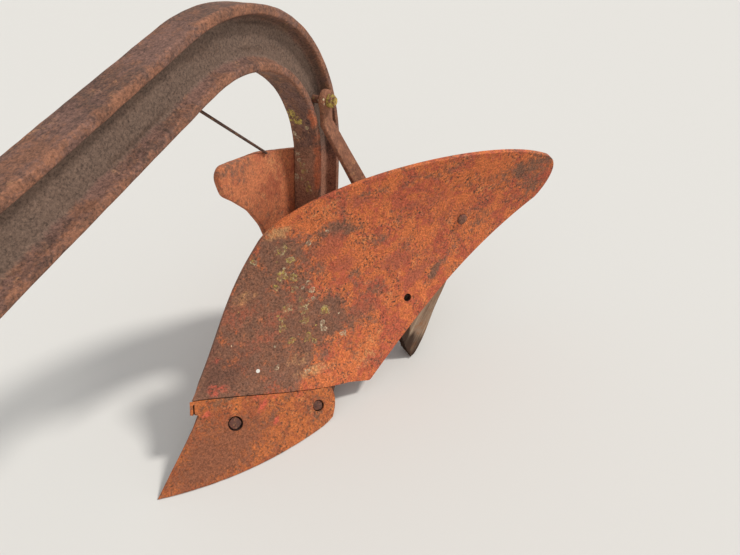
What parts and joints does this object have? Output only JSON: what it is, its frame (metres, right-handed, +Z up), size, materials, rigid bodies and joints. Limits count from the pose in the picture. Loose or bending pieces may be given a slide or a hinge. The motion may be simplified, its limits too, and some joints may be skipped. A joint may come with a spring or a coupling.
{
  "type": "walking moldboard plough",
  "caption": "Rusted horse-drawn walking plough: curved steel gooseneck beam, twisted moldboard, worn share and landside; the handles are gone.",
  "frame": {"origin": "on the ground, midway along and across the plough", "axes": "+X the way of travel, +Y the side the furrow is thrown to (left), +Z up"},
  "size_m": [1.2912, 0.3958, 0.596],
  "materials": {
    "beam_steel": "rusted, dark brown patina",
    "plate_steel": "rusted",
    "landside_steel": "rusted, once worn bright by the furrow wall",
    "frog_iron": "rusted casting",
    "share_steel": "rusted, worn at the edge",
    "moldboard_steel": "orange rust over brown patina",
    "brace_steel": "rusted",
    "bolt_steel": "rusted",
    "stub_wood": "grey, weathered and rotten at its foot",
    "rod_steel": "rusted",
    "hake_steel": "rusted",
    "hook_iron": "rusted"
  },
  "bodies": {
    "plough": {"beam": "beam_steel", "side_plate": "plate_steel", "landside": "landside_steel", "heel": "landside_steel", "frog": "frog_iron", "share": "share_steel", "moldboard": "moldboard_steel", "brace": "brace_steel", "brace_bolt": "bolt_steel", "beam_packing": "plate_steel", "beam_bolts": "bolt_steel", "frog_bolts": "bolt_steel", "landside_bolts": "bolt_steel", "share_bolt_front": "bolt_steel", "share_bolt_wing": "bolt_steel", "moldboard_bolt": "bolt_steel", "handle_stub": "stub_wood", "moldboard_stay": "brace_steel", "stay_rod": "rod_steel", "hake_cheek_left": "hake_steel", "hake_cheek_right": "hake_steel", "hake_bolts": "bolt_steel", "draught_pin": "bolt_steel"},
    "hook": {"draught_hook": "hook_iron"}
  },
  "joints": [
    {"name": "hook_swing", "type": "hinge", "parent": "plough", "child": "hook", "pos_m": [0.59864, -0.15543, 0.30046], "axis": [0, 1, 0], "range_deg": [-95, 25]}
  ]
}
